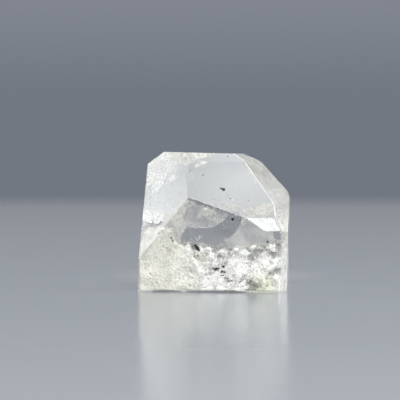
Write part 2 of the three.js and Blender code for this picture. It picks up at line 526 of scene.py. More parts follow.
def milky_topaz(name, dull, bright):
    """The flakes of the veils: tiny healed cracks that scatter white."""
    material, tree = new_material(name, Roughness=0.3)
    grain = place_group(tree, GRAIN, Grains_per_mm=2.4)
    shade(tree, Base_Color=blend(tree, grain["Grain"], dull, bright))
    return material


def film(name, colour, least, most):
    """A thin see-through film in a crack, thicker in soft patches."""
    material, tree = new_material(name, Roughness=0.3)
    cloud = place_group(tree, CLOUD, Clouds_per_mm=0.5)
    grain = place_group(tree, GRAIN, Grains_per_mm=2.0)
    broad = math_node(tree, "MULTIPLY", cloud["Cloud"], 0.6)
    fine = math_node(tree, "MULTIPLY", grain["Grain"], 0.4)
    cover = map_range(tree, math_node(tree, "ADD", broad, fine), 0.0, 1.0, least, most)
    dim = tuple(0.85 * value for value in colour[:3]) + (1,)
    shade(tree, Base_Color=blend(tree, grain["Grain"], dim, colour), Alpha=cover)
    return material


def dark_mineral():
    """The nearly black grains."""
    material, tree = new_material("dark mineral", Roughness=0.8, Specular_IOR_Level=0.2)
    cloud = place_group(tree, CLOUD, Clouds_per_mm=1.5)
    grain = place_group(tree, GRAIN, Grains_per_mm=6.0)
    colour = blend(tree, cloud["Cloud"], (0.006, 0.006, 0.005, 1), (0.03, 0.022, 0.016, 1))
    shade(tree, Base_Color=colour)
    relief(tree, grain["Height"], 0.6, 0.05 * MM)
    return material


def rusty_mineral():
    """The reddish brown grains."""
    material, tree = new_material("rusty mineral", Roughness=0.6)
    cloud = place_group(tree, CLOUD, Clouds_per_mm=2.0)
    colour = blend(tree, cloud["Cloud"], (0.2, 0.085, 0.05, 1), (0.42, 0.24, 0.18, 1))
    shade(tree, Base_Color=colour)
    return material


# ---- pieces -------------------------------------------------------------------------

# The crystal's three materials, by their place in its list.
BODY, BASE, WORN = range(3)

# An edge wears round where it is this long, between faces this large, at this angle or more.
WORN_LENGTH = 1.0 * MM
WORN_FACE = 1.0 * MM * MM
WORN_ANGLE = math.radians(8)


def is_worn(edge):
    """True for the long edges between large faces, which wear round."""
    if len(edge.link_faces) < 2 or edge.calc_length() < WORN_LENGTH:
        return False
    if any(face.material_index == WORN for face in edge.link_faces):
        return False
    small = min(face.calc_area() for face in edge.link_faces)
    return small > WORN_FACE and edge.calc_face_angle(0) > WORN_ANGLE


def is_ridge(edge):
    """True for the worn edges between the front and the right of the pointed top."""
    left, right = sorted((face.normal for face in edge.link_faces), key=lambda normal: normal.x)
    return min(left.z, right.z) > 0.3 and max(left.y, right.y) < 0 < left.x < 0.3 < 0.4 < right.x


def is_rim(edge):
    """True for the worn upright edges on the right, beside the narrow side face."""
    normals = [face.normal for face in edge.link_faces]
    return all(abs(normal.z) < 0.1 for normal in normals) and max(n.x for n in normals) > 0.9


def crystal_body(material, base_material, worn_material):
    """The clear crystal itself, with its edges very slightly rounded."""
    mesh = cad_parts["crystal"].data.copy()
    mesh.name = "topaz"
    mesh.materials.clear()
    for each in (material, base_material, worn_material):
        mesh.materials.append(each)
    bm = whole_faces(mesh)
    for face in bm.faces:
        face.material_index = BODY
    rounds = ((RIDGE_ROUND, is_ridge, WORN), (RIM_ROUND, is_rim, WORN), (EDGE_ROUND, is_worn, BODY))
    for width, wanted, slot in rounds:
        edges = [edge for edge in bm.edges if is_worn(edge) and wanted(edge)]
        bmesh.ops.bevel(
            bm, geom=edges, offset=width, offset_type="OFFSET", segments=3, profile=0.5,
            affect="EDGES", clamp_overlap=False, material=slot,
        )
    bm.to_mesh(mesh)
    bm.free()
    base_height = 0.9 * MM
    for polygon in mesh.polygons:
        polygon.use_smooth = False
        if polygon.center.z < base_height and polygon.normal.z < -0.2:
            polygon.material_index = BASE
    body = link(bpy.data.objects.new("topaz", mesh))
    body.visible_shadow = False
    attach(body, "root")
    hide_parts("crystal")


def lattice_value(i, j, k, seed):
    """A fixed random number from -1 to 1 for each whole-numbered lattice point."""
    mixed = (i * 73856093) ^ (j * 19349663) ^ (k * 83492791) ^ (seed * 2654435)
    mixed = (mixed ^ (mixed >> 13)) * 1274126177 & 0x7FFFFFFF
    mixed = (mixed ^ (mixed >> 15)) * 668265263 & 0x7FFFFFFF
    return mixed / 0x3FFFFFFF - 1


def noise_at(points, per_mm, seed=0):
    """Smooth noise from -1 to 1 at each point, with the given number of waves per millimetre."""
    scaled = points * (per_mm / MM)
    whole = np.floor(scaled).astype(np.int64)
    part = scaled - whole
    ease = part * part * part * (part * (part * 6 - 15) + 10)
    total = np.zeros(len(points))
    for corner in np.ndindex(2, 2, 2):
        weight = np.prod(np.where(corner, ease, 1 - ease), axis=1)
        total += weight * lattice_value(*(whole + corner).T, seed)
    return total


def blocks_at(points, per_mm, seed=0):
    """A random number from -1 to 1 for the broken block that each point lies in."""
    scaled = points * (per_mm / MM)
    whole = np.floor(scaled).astype(np.int64)
    nearest = np.full(len(points), 9.0)
    value = np.zeros(len(points))
    for corner in np.ndindex(3, 3, 3):
        cell = whole + corner - 1
        places = [cell[:, axis] + 0.5 + 0.45 * lattice_value(*cell.T, seed + axis) for axis in range(3)]
        distance = ((np.stack(places, 1) - scaled) ** 2).sum(axis=1)
        closer = distance < nearest
        nearest = np.where(closer, distance, nearest)
        value = np.where(closer, lattice_value(*cell.T, seed + 3), value)
    return value


def smoothstep(low, high, value):
    """0 at low, 1 at high, and a smooth rise between them."""
    t = np.clip((value - low) / (high - low), 0, 1)
    return t * t * (3 - 2 * t)


# Mineral grains: the face they lie under, where (shares of width and height), half length
# and half width (mm), and how far they lean from level.
DARK_SPECKS = [
    # the dark grain in the front pyramid, with a trail of small ones
    (FRONT_PYRAMID, 0.534, 0.738, 0.26, 0.11, 10), (FRONT_PYRAMID, 0.548, 0.732, 0.30, 0.26, -40),
    (FRONT_PYRAMID, 0.552, 0.722, 0.14, 0.09, -60), (FRONT_PYRAMID, 0.566, 0.703, 0.09, 0.06, -50),
    (FRONT_PYRAMID, 0.577, 0.690, 0.08, 0.05, -50), (FRONT_PYRAMID, 0.594, 0.667, 0.15, 0.08, -45),
    # single small grains in the top, and by the ridge
    (FRONT_TOP, 0.577, 0.968, 0.15, 0.10, -10), (FRONT_PYRAMID, 0.417, 0.833, 0.13, 0.09, 0),
    (FRONT_PYRAMID, 0.710, 0.652, 0.10, 0.07, 0), (RIGHT_PYRAMID, 0.905, 0.665, 0.14, 0.07, -70),
    # in the clear window, and in the clear place on the right
    (FRONT, 0.607, 0.521, 0.24, 0.21, 20), (FRONT_RIGHT, 0.829, 0.365, 0.17, 0.13, 50),
    (FRONT_RIGHT, 0.832, 0.358, 0.10, 0.08, 0),
    # the long one at the left end of the sugary zone's top
    (FRONT, 0.370, 0.333, 0.30, 0.16, -50), (FRONT, 0.382, 0.316, 0.34, 0.22, -55),
    (FRONT, 0.393, 0.298, 0.18, 0.12, -50), (FRONT, 0.352, 0.325, 0.14, 0.09, -30),
    # the group in the middle of the foot
    (FRONT, 0.489, 0.169, 0.30, 0.09, 0), (FRONT, 0.502, 0.168, 0.30, 0.14, 5),
    (FRONT, 0.518, 0.171, 0.22, 0.07, 8), (FRONT, 0.499, 0.157, 0.12, 0.08, 0),
    (FRONT, 0.549, 0.185, 0.20, 0.14, 25), (FRONT, 0.538, 0.148, 0.18, 0.12, 75),
    (FRONT, 0.553, 0.143, 0.12, 0.10, 0), (FRONT, 0.541, 0.121, 0.22, 0.06, 5),
    (FRONT, 0.560, 0.104, 0.20, 0.09, 40), (FRONT, 0.575, 0.098, 0.17, 0.10, -35),
    (FRONT, 0.583, 0.083, 0.24, 0.07, -20), (FRONT, 0.601, 0.084, 0.18, 0.05, 5),
    (FRONT, 0.61, 0.125, 0.14, 0.04, 10), (FRONT, 0.655, 0.080, 0.20, 0.05, 0),
    # on the left
    (LEFT_DOME, 0.135, 0.420, 0.16, 0.10, 30), (LEFT_DOME, 0.043, 0.775, 0.14, 0.09, 30),
    (FRONT, 0.165, 0.330, 0.10, 0.06, 20), (FRONT, 0.155, 0.300, 0.10, 0.06, 0),
    (FRONT, 0.185, 0.315, 0.08, 0.06, 0), (FRONT, 0.215, 0.385, 0.16, 0.09, -60),
    (FRONT, 0.225, 0.365, 0.22, 0.08, -65), (FRONT, 0.080, 0.130, 0.09, 0.06, 0),
]
RUSTY_SPECKS = [
    (FRONT, 0.363, 0.256, 0.14, 0.09, 60), (FRONT, 0.386, 0.259, 0.14, 0.12, 30),
    (FRONT, 0.372, 0.243, 0.12, 0.08, 0), (FRONT, 0.392, 0.236, 0.10, 0.07, 0),
    (LEFT_DOME, 0.050, 0.815, 0.26, 0.09, 35), (LEFT_DOME, 0.062, 0.835, 0.14, 0.06, 35),
    (FRONT, 0.118, 0.125, 0.10, 0.05, 60),
]
# The dark pin-pricks: the face they lie under, between which shares across and up, how many.
PINPRICKS = [
    (FRONT, (0.03, 0.8), (0.02, 0.31), 170),
    (FRONT, (0.42, 0.62), (0.06, 0.20), 60),
    (FRONT, (0.08, 0.33), (0.30, 0.60), 60),
    (LEFT_DOME, (0.02, 0.26), (0.75, 0.985), 150),
    (LEFT_DOME, (0.05, 0.15), (0.60, 0.75), 50),
]


def specks_in_place(specks):
    """Where the grains of a list lie, just under their faces, their half sizes and leans."""
    faces, across, up, lengths, widths, leans = zip(*specks)
    halves = 1.15 * MM * np.array([lengths, widths, widths]).T
    depths = 0.05 * MM + 1.3 * halves[:, 2]
    centres = [seen_under(*where) for where in zip(faces, across, up, depths)]
    return np.array(centres), halves, np.array(leans)


def room_round_specks(points):
    """How far each point lies outside the small clear room round the nearest grain, in mm."""
    room = np.full(len(points), 9.0)
    centres, halves, leans = specks_in_place(DARK_SPECKS + RUSTY_SPECKS)
    for centre, half, lean in zip(centres, halves, np.radians(leans)):
        x, y, z = (points - centre).T
        along = (x * math.cos(lean) + z * math.sin(lean)) / half[0]
        above = (z * math.cos(lean) - x * math.sin(lean)) / half[1]
        behind = np.maximum(y, 0) / half[2]
        room = np.minimum(room, (np.sqrt(along ** 2 + above ** 2 + behind ** 2) - 1.15) * half[1] / MM)
    return room


def sugar_height(points):
    """The uneven top of the sugary zone above each point; it sinks towards the back, and
    climbs at the left, close behind the dome."""
    back = (points[:, 1] - LOW.y) / DEPTH
    across = (points[:, 0] - LOW.x) / WIDTH
    under_dome = (FACE_REACHES[LEFT_DOME] - points @ FACE_NORMALS[LEFT_DOME]) / MM
    waves = 0.6 * noise_at(points * (1, 0, 0), 0.3) + 0.35 * noise_at(points * (1, 0, 0), 0.9, 2)
    climb = 2.5 * smoothstep(0.29, 0.2, across) * smoothstep(3.5, 1.5, under_dome)
    return SUGAR_TOP + (waves + climb) * MM - SUGAR_SINK * back


# Clear places in the front of the sugary zone: across, up, half-width and half-height as
# shares of the crystal's width and height, how far they lean, and how far back they go.
CLEAR_WINDOWS = [
    (0.725, 0.258, 0.030, 0.042, 0, 0.7 * MM),
    (0.755, 0.290, 0.046, 0.026, 12, 0.7 * MM),
    (0.889, 0.320, 0.032, 0.062, -10, 0.8 * MM),
    (0.850, 0.275, 0.034, 0.024, -12, 0.7 * MM),
    (0.873, 0.147, 0.048, 0.030, 25, 0.7 * MM),
    (0.743, 0.038, 0.040, 0.048, 10, 0.7 * MM),
    (0.536, 0.249, 0.034, 0.042, 0, 0.6 * MM),
    (0.622, 0.352, 0.044, 0.034, 5, 0.9 * MM),
    (0.799, 0.340, 0.018, 0.055, 0, 0.7 * MM),
    (0.372, 0.330, 0.030, 0.040, -45, 0.9 * MM),
]


def clear_window(points, window):
    """How far inside a clear place each point lies, in millimetres; negative outside."""
    across, up, half_width, half_height, lean, back = window
    x = points[:, 0] - LOW.x - across * WIDTH
    z = points[:, 2] - up * HEIGHT
    cos = math.cos(math.radians(lean))
    sin = math.sin(math.radians(lean))
    along = (x * cos + z * sin) / (half_width * WIDTH)
    above = (z * cos - x * sin) / (half_height * HEIGHT)
    front = [FRONT, FRONT_RIGHT]
    behind = (FACE_REACHES[front] - points @ FACE_NORMALS[front].T).min(axis=1) / back
    uneven = 0.35 * noise_at(points, 0.9, 31) + 0.4 * noise_at(points, 2.2, 32)
    uneven += 0.2 * noise_at(points, 4.0, 33)
    reach = 1 + uneven - np.sqrt(along ** 2 + above ** 2 + np.clip(behind, 0, 2) ** 4)
    return reach * min(half_width * WIDTH, half_height * HEIGHT) / MM


def sugar_fill(points):
    """Positive where the sugary mass is, in millimetres from its surface."""
    depth = depth_inside(points) / MM - SUGAR_BEHIND
    under = (sugar_height(points) - points[:, 2]) / MM
    fill = np.minimum(depth, under)
    near = np.abs(fill) < 1.2
    close = points[near]
    calm = 1 - 0.85 * smoothstep(0.2, 0.45, (close[:, 1] - LOW.y) / DEPTH)
    calm *= 0.4 + 0.6 * smoothstep(0.15, 0.35, (close[:, 0] - LOW.x) / WIDTH)
    ragged = calm * (0.4 * blocks_at(close, 1.1) + 0.3 * noise_at(close, 1.6, 1))
    knobs = calm * (0.05 * blocks_at(close, 1.7, 7) + 0.06 * noise_at(close, 1.2, 2))
    fill[near] = np.minimum(depth[near], under[near] + ragged) + knobs
    for window in CLEAR_WINDOWS:
        fill[near] -= 3.0 * np.clip(clear_window(close, window) + 0.05, 0, 1)
    fill[near] = np.minimum(fill[near], room_round_specks(close))
    return np.minimum(fill, depth + SUGAR_BEHIND - SKIN / MM)


def grown_surface(fill, low, high, pitch):
    """A closed quad mesh round the places where fill is positive, on a grid of the given pitch."""
    axes = [np.arange(a, b + pitch, pitch) for a, b in zip(low, high)]
    grid = np.stack(np.meshgrid(*axes, indexing="ij"), -1)
    value = fill(grid.reshape(-1, 3)).reshape(grid.shape[:3])
    inside = value > 0
    cells = [n - 1 for n in inside.shape]
    window = [[slice(i, i + n) for n in cells] for i in (0, 1)]
    corner = {c: tuple(window[c[a]][a] for a in range(3)) for c in np.ndindex(2, 2, 2)}
    filled = sum(inside[where].astype(int) for where in corner.values())
    active = (filled > 0) & (filled < 8)
    index = np.full(active.shape, -1)
    index[active] = np.arange(active.sum())
    total = np.zeros((active.sum(), 3))
    crossings = np.zeros(active.sum())
    for start in np.ndindex(2, 2, 2):
        for axis in range(3):
            if start[axis]:
                continue
            end = tuple(1 if a == axis else start[a] for a in range(3))
            first = value[corner[start]][active]
            second = value[corner[end]][active]
            crossed = (first > 0) != (second > 0)
            share = np.where(crossed, first / np.where(crossed, first - second, 1), 0)[:, None]
            place = grid[corner[start]][active] * (1 - share) + grid[corner[end]][active] * share
            total += place * crossed[:, None]
            crossings += crossed
    faces = []
    for axis in range(3):
        one, two = [(1, 2), (2, 0), (0, 1)][axis]
        step = np.eye(3, dtype=int)
        edge = np.argwhere(np.diff(inside.astype(int), axis=axis) != 0)
        edge = edge[(edge[:, one] > 0) & (edge[:, two] > 0)]
        edge = edge[(edge[:, one] < cells[one]) & (edge[:, two] < cells[two])]
        around = [edge - step[one] - step[two], edge - step[two], edge, edge - step[one]]
        quad = np.stack([index[tuple(cell.T)] for cell in around], 1)
        outward = inside[tuple(edge.T)]
        quad[~outward] = quad[~outward][:, ::-1]
        faces.append(quad)
    return total / crossings[:, None], np.concatenate(faces)


def sugar_core(material):
    """The crowded heart of the sugary zone, as one solid mass with a broken surface."""
    margin = 0.5 * MM
    top = 0.53 * HEIGHT
    pitch = 0.2 * MM
    unevenness = 0.022 * MM
    low = (LOW.x - margin, LOW.y - margin, -margin)
    high = (HIGH.x + margin, HIGH.y + margin, top)
    vertices, faces = grown_surface(sugar_fill, low, high, pitch)
    vertices += np.random.default_rng(3).normal(0, unevenness, vertices.shape)
    core = new_piece("sugar_core", vertices, faces, material, "frosted_topaz")
    core.data.shade_flat()
    return core


# The loose flakes of the sugary zone: how many, how far out they lie (mm), size (mm).
SUGAR_FLAKES = {
    "sugar_coat": (62000, 0.12, 0.082),
    "sugar_dust": (16000, 0.5, 0.065),
    "sugar_sparkle": (9000, 0.15, 0.075),
}


def sugar_flakes(core, materials):
    """Loose flakes that cover the core and thin out into the clear topaz above."""
    scatter = 0.08 * MM
    rng = np.random.default_rng(11)
    points, normals = points_and_normals(core.data)
    front = np.flatnonzero(normals[:, 1] < -0.3)
    for (name, (wanted, spread, size)), material in zip(SUGAR_FLAKES.items(), materials):
        pick = rng.integers(0, len(points), wanted)
        pick[wanted // 4:] = rng.choice(front, wanted - wanted // 4)
        out = rng.exponential(spread * MM, wanted)
        places = points[pick] + normals[pick] * out[:, None] + rng.normal(0, scatter, (wanted, 3))
        sizes = rng.lognormal(math.log(size), 0.45, wanted).clip(0.03, 0.2) * MM
        keep = depth_inside(places) > 0.6 * SKIN + sizes
        keep &= room_round_specks(places) > 0
        for window in CLEAR_WINDOWS:
            keep &= clear_window(places, window) < -0.02
        places = places[keep]
        sizes = sizes[keep]
        vertices, faces = grains(rng, places, sizes, rng.uniform(0.15, 0.6, len(places)))
        piece = new_piece(name, vertices, faces, material, "frosted_topaz")
        piece.visible_shadow = name == "sugar_coat"


def apron(material):
    """A veil of crowded flakes that climbs behind the front face, left of the clear window, where
    it ends in a ragged line; to the left it thins out under the dome."""
    count = 42000
    flake = 0.085
    rng = np.random.default_rng(13)
    deep = (0.1 + rng.exponential(0.35, count)) * MM
    front = seen_under(FRONT, rng.uniform(0.02, 0.36, count), rng.uniform(0.25, 0.66, count), deep)
    end_line = 0.205 + 0.19 * front[:, 2] / HEIGHT
    side = (end_line - (front[:, 0] - LOW.x) / WIDTH) * WIDTH / MM
    side += 0.35 * noise_at(front, 0.5, 5) + 0.3 * noise_at(front, 1.8, 9)
    front = front[side > rng.exponential(0.12, count)]
    dome = seen_under(LEFT_DOME, rng.uniform(0.0, 0.24, count), rng.uniform(0.27, 0.56, count), deep)
    edge_distance = (FACE_REACHES[FRONT] - dome @ FACE_NORMALS[FRONT]) / MM
    thin = 1.0 + 0.8 * noise_at(dome, 0.5, 15) + np.clip(8 * (0.40 - dome[:, 2] / HEIGHT), 0, 3)
    dome = dome[edge_distance < rng.exponential(1.8, count) * np.maximum(thin, 0.1)]
    places = np.concatenate([front, dome])
    sizes = rng.lognormal(math.log(flake), 0.4, len(places)).clip(0.03, 0.2) * MM
    keep = (depth_inside(places) > sizes + THIN_SKIN) & (room_round_specks(places) > 0)
    shapes = grains(rng, places[keep], sizes[keep], rng.uniform(0.15, 0.6, keep.sum()))
    new_piece("apron", *shapes, material, "frosted_topaz").visible_shadow = False


# Veils of tiny flakes, by piece: the face they lie under, where (shares of width and height),
# half length, half width (mm) and lean of the veil, how deep it starts and ends (mm), how many
# flakes, and their size (mm).
VEILS = {
    "dome_veils": [
        # under the left dome: bright blobs and streaks, speckles, and a thin haze all over
        (LEFT_DOME, 0.127, 0.782, 2.4, 0.8, 58, 0.12, 0.5, 10000, 0.085),
        (LEFT_DOME, 0.205, 0.800, 1.2, 0.4, 50, 0.12, 0.5, 2400, 0.08),
        (LEFT_DOME, 0.150, 0.940, 1.0, 0.45, 20, 0.2, 0.6, 1400, 0.06),
        (LEFT_DOME, 0.226, 0.890, 1.3, 0.9, 80, 0.2, 0.8, 2400, 0.04),
        (LEFT_DOME, 0.262, 0.748, 1.0, 0.04, 4, 0.2, 0.3, 160, 0.035),
        (LEFT_DOME, 0.270, 0.728, 0.9, 0.04, 6, 0.2, 0.3, 140, 0.035),
        (LEFT_DOME, 0.255, 0.712, 0.8, 0.04, 2, 0.2, 0.3, 120, 0.035),
        (LEFT_DOME, 0.190, 0.860, 1.5, 0.5, 45, 0.3, 1.2, 1100, 0.06),
        (LEFT_DOME, 0.215, 0.790, 0.8, 0.10, 50, 0.3, 0.5, 160, 0.06),
        (LEFT_DOME, 0.235, 0.805, 0.9, 0.09, 52, 0.3, 0.5, 160, 0.06),
        (LEFT_DOME, 0.250, 0.815, 0.6, 0.07, 48, 0.3, 0.5, 90, 0.06),
        (LEFT_DOME, 0.170, 0.905, 0.9, 0.28, 35, 0.3, 0.9, 420, 0.07),
        (LEFT_DOME, 0.150, 0.895, 0.9, 0.20, 5, 0.3, 0.9, 300, 0.07),
        (LEFT_DOME, 0.240, 0.890, 0.9, 0.45, 100, 0.4, 1.2, 420, 0.07),
        (LEFT_DOME, 0.075, 0.665, 1.3, 1.0, 60, 0.3, 1.5, 420, 0.07),
        (LEFT_DOME, 0.170, 0.720, 1.6, 0.6, 50, 0.5, 2.0, 260, 0.05),
        (LEFT_DOME, 0.120, 0.880, 3.0, 1.6, 25, 0.2, 1.6, 5000, 0.055),
        (LEFT_DOME, 0.150, 0.850, 3.6, 2.2, 10, 0.5, 3.0, 2000, 0.045),
        (LEFT_DOME, 0.045, 0.780, 0.8, 1.8, 0, 0.2, 1.2, 1200, 0.055),
        (LEFT_DOME, 0.080, 0.560, 1.8, 1.2, 0, 0.3, 1.5, 900, 0.06),
        (LEFT_DOME, 0.200, 0.560, 1.4, 0.35, 55, 0.3, 1.0, 240, 0.05),
        (LEFT_DOME, 0.125, 0.890, 3.2, 2.0, 25, 0.2, 1.0, 9000, 0.032),
        (LEFT_DOME, 0.075, 0.760, 1.8, 1.6, 60, 0.2, 1.0, 3000, 0.032),
        (LEFT_DOME, 0.180, 0.520, 2.4, 0.5, 55, 0.15, 0.8, 1600, 0.05),
    ],
    "front_veils": [
        # flecks in the sugary veil left of the clear window
        (FRONT, 0.250, 0.500, 0.9, 1.8, -20, 0.1, 0.5, 1500, 0.05),
        (FRONT, 0.200, 0.400, 1.8, 0.8, 30, 0.1, 0.5, 1500, 0.05),
        # in the clear window behind the front face
        (FRONT, 0.345, 0.650, 0.9, 0.5, -20, 0.3, 1.0, 260, 0.05),
        (FRONT, 0.430, 0.590, 0.7, 0.35, 0, 1.0, 2.0, 60, 0.05),
        (FRONT, 0.390, 0.385, 0.8, 0.5, 20, 0.5, 1.5, 200, 0.05),
        (FRONT, 0.560, 0.370, 1.6, 0.4, 15, 0.5, 1.5, 260, 0.05),
        (FRONT, 0.550, 0.560, 4.5, 2.6, -15, 0.5, 4.0, 1500, 0.05),
    ],
    "pyramid_veils": [
        # in the left part of the front pyramid
        (FRONT_PYRAMID, 0.350, 0.820, 0.55, 0.9, 20, 0.4, 1.2, 200, 0.05),
        (FRONT_PYRAMID, 0.360, 0.700, 0.5, 1.6, 0, 0.4, 1.6, 200, 0.045),
        (FRONT_PYRAMID, 0.365, 0.905, 0.9, 0.5, 20, 0.4, 1.2, 200, 0.05),
        # along the lower edge of the front pyramid
        (FRONT_PYRAMID, 0.690, 0.585, 1.7, 0.45, -8, 0.3, 1.5, 800, 0.06),
        (FRONT_PYRAMID, 0.730, 0.565, 1.0, 0.35, -5, 0.3, 0.9, 500, 0.06),
        (FRONT_PYRAMID, 0.770, 0.605, 1.2, 0.7, 0, 0.3, 1.5, 500, 0.05),
        (FRONT_STEEP, 0.800, 0.505, 1.4, 0.4, -18, 0.3, 1.0, 800, 0.06),
        (FRONT_STEEP, 0.850, 0.485, 0.7, 0.3, -10, 0.3, 1.0, 350, 0.06),
        (FRONT_STEEP, 0.815, 0.505, 2.4, 0.9, -18, 0.15, 0.8, 1300, 0.05),
        (FRONT_PYRAMID, 0.690, 0.580, 3.4, 0.6, -14, 0.15, 0.8, 10000, 0.035),
        (FRONT_PYRAMID, 0.785, 0.580, 2.6, 1.2, 10, 0.15, 0.8, 20000, 0.036),
        (FRONT_PYRAMID, 0.586, 0.680, 0.80, 0.06, -48, 0.25, 0.3, 200, 0.04),
        (FRONT_PYRAMID, 0.605, 0.655, 0.60, 0.05, -52, 0.25, 0.3, 220, 0.045),
    ],
    "right_veils": [
        # under the right faces
        (RIGHT_STEEP, 0.905, 0.560, 1.1, 0.4, 80, 0.3, 1.2, 800, 0.06),
        (RIGHT_STEEP, 0.880, 0.620, 0.9, 0.3, -45, 0.3, 1.0, 450, 0.06),
        (RIGHT_PYRAMID, 0.900, 0.650, 1.2, 0.3, -45, 0.3, 1.0, 450, 0.06),
        (RIGHT_PYRAMID, 0.840, 0.760, 2.6, 1.0, -55, 0.5, 3.0, 1200, 0.045),
        (RIGHT_PYRAMID, 0.780, 0.880, 2.0, 0.8, -50, 0.5, 3.0, 900, 0.045),
        (RIGHT_PYRAMID, 0.800, 0.845, 4.6, 1.6, -50, 0.15, 1.2, 30000, 0.034),
        (RIGHT_PYRAMID, 0.745, 0.850, 2.8, 0.6, -54, 0.15, 0.7, 6000, 0.04),
        (RIGHT_TOP, 0.765, 0.940, 2.4, 0.8, -35, 0.15, 0.8, 10000, 0.034),
        (RIGHT_STEEP, 0.916, 0.609, 1.0, 0.28, -50, 0.15, 0.5, 1300, 0.07),
        (RIGHT_STEEP, 0.885, 0.563, 0.9, 0.28, -62, 0.15, 0.5, 1100, 0.07),
        (RIGHT_STEEP, 0.930, 0.500, 1.1, 0.35, 80, 0.15, 0.6, 1200, 0.06),
        (RIGHT_PRISM, 0.950, 0.440, 0.5, 1.3, 0, 0.2, 1.0, 900, 0.06),
        (RIGHT_PRISM, 0.960, 0.190, 0.6, 4.6, 0, 0.1, 0.4, 20000, 0.085),
    ],
}


def veil_of_flakes(rng, face, across, up, half_length, half_width, lean, start, end, count, size):
    """One soft-edged veil of flakes, as vertices and faces."""
    turn = rng.uniform(0, 2 * math.pi, count)
    out = np.sqrt(rng.uniform(0, 1, count))
    along = out * np.cos(turn) * half_length
    above = out * np.sin(turn) * half_width
    cos = math.cos(math.radians(lean))
    sin = math.sin(math.radians(lean))
    aside = (along * cos - above * sin) * MM / WIDTH
    higher = (along * sin + above * cos) * MM / HEIGHT
    places = seen_under(face, across + aside, up + higher, rng.uniform(start, end, count) * MM)
    patchy = noise_at(places, 0.8, 21) + 0.7 * noise_at(places, 2.2, 22)
    sizes = rng.lognormal(math.log(1.5 * size), 0.4, count).clip(0.03, 0.22) * MM
    keep = (patchy > rng.uniform(-0.9, 0.6, count)) & (rng.random(count) > out ** 2)
    keep &= (depth_inside(places) > sizes + THIN_SKIN) & (room_round_specks(places) > 0)
    return grains(rng, places[keep], sizes[keep], rng.uniform(0.1, 0.5, keep.sum()))


def joined(shapes):
    """Many (vertices, faces) shapes as one."""
    starts = np.cumsum([0] + [len(vertices) for vertices, faces in shapes])
    faces = [faces + start for (vertices, faces), start in zip(shapes, starts)]
    return np.concatenate([vertices for vertices, faces in shapes]), np.concatenate(faces)


def veils(white_material, cream_material):
    """All the veils, white under the dome and cream elsewhere."""
    rng = np.random.default_rng(23)
    for name, rows in VEILS.items():
        material = white_material if name == "dome_veils" else cream_material
        shapes = joined([veil_of_flakes(rng, *row) for row in rows])
        new_piece(name, *shapes, material, "frosted_topaz").visible_shadow = False


# Thin healed cracks behind the front face: their outlines as across and up shares, how deep
# they lie, and which stretch of the outline shows as a bright line.
WINDOW_CRACKS = {
    "left_crack": (
        [(0.30, 0.47), (0.36, 0.463), (0.42, 0.462), (0.495, 0.473), (0.552, 0.523), (0.575, 0.55),
         (0.50, 0.585), (0.42, 0.615), (0.34, 0.64), (0.31, 0.58)],
        0.6, (1, 4),
    ),
    "right_crack": (
        [(0.673, 0.55), (0.668, 0.51), (0.654, 0.474), (0.628, 0.431), (0.597, 0.395), (0.56, 0.365),
         (0.60, 0.31), (0.74, 0.30), (0.85, 0.32), (0.86, 0.43), (0.79, 0.455), (0.72, 0.515)],
        0.6, (0, 5),
    ),
}
# A small crack in the upper left corner of the front pyramid: across and up shares.
CORNER_CRACK = [
    (0.300, 0.955), (0.345, 0.965), (0.385, 0.950), (0.372, 0.915), (0.352, 0.875), (0.330, 0.855),
    (0.315, 0.900),
]
# A faint dark film of painted shade that darkens the middle of the clear window: across and up shares.
DIM_SHADE_FILM = [
    (0.50, 0.47), (0.555, 0.515), (0.60, 0.57), (0.655, 0.545), (0.655, 0.49), (0.62, 0.43),
    (0.56, 0.40), (0.48, 0.42),
]
# The basal crack under the left dome, level with the base: x, y shares of width and depth.
BASAL_CRACK = [
    (0.045, 0.33), (0.10, 0.20), (0.19, 0.13), (0.25, 0.20), (0.235, 0.34), (0.20, 0.50),
    (0.16, 0.62), (0.10, 0.68), (0.05, 0.60), (0.03, 0.46),
]
BASAL_CRACK_UP = 0.492


def smooth_ring(corners):
    """A closed smooth curve through corner points."""
    steps = 8
    corners = np.array(corners, float)
    before, after, beyond = (np.roll(corners, shift, axis=0) for shift in (1, -1, -2))
    points = []
    for t in np.arange(steps) / steps:
        points.append(0.5 * (
            2 * corners + (after - before) * t
            + (2 * before - 5 * corners + 4 * after - beyond) * t ** 2
            + (3 * corners - before - 3 * after + beyond) * t ** 3
        ))
    return np.stack(points, 1).reshape(-1, corners.shape[1])


def rim_under(face, corners, depth):
    """A smooth rim behind a face, at one depth (mm), through corners in across and up shares."""
    ring = smooth_ring(corners)
    return seen_under(face, ring[:, 0], ring[:, 1], depth * MM)


